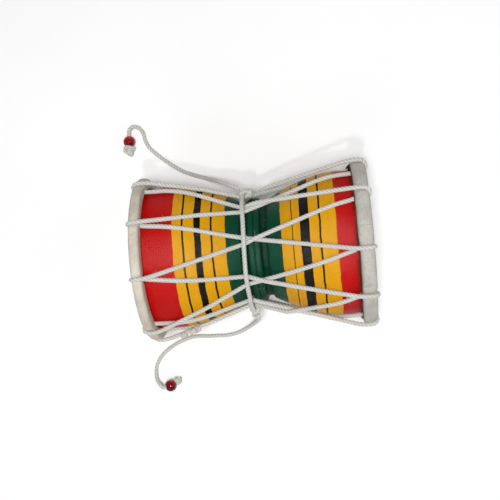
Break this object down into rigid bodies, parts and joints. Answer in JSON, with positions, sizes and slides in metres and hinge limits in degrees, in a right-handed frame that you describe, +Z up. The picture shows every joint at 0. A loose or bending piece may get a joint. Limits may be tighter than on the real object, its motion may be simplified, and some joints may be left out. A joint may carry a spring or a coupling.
{
  "type": "damaru hand drum",
  "caption": "Small hourglass drum of painted turned wood with two laced hide heads and two beaded striker cords, lying on its side.",
  "frame": {"origin": "on the surface the drum lies on, under the middle of its box without the striker cords", "axes": "+Z up, X along the drum's axis, +Y towards the side with the waist knot"},
  "size_m": [0.1736, 0.1986, 0.1122],
  "materials": {
    "painted_wood": "glossy enamel in red, yellow, black and green bands on turned wood",
    "hide": "untanned pale hide, dry and slightly wrinkled",
    "cotton_cord": "off-white twisted cotton, slightly frayed",
    "red_bead": "dark red and glossy"
  },
  "bodies": {
    "root": {"shell": "painted_wood", "left_head": "hide", "right_head": "hide", "lacing": "cotton_cord", "waist_binding": "cotton_cord", "upper_striker_cord": "cotton_cord", "upper_striker_bead": "red_bead", "upper_striker_knot": "cotton_cord", "lower_striker_cord": "cotton_cord", "lower_striker_bead": "red_bead", "lower_striker_knot": "cotton_cord"}
  },
  "joints": []
}
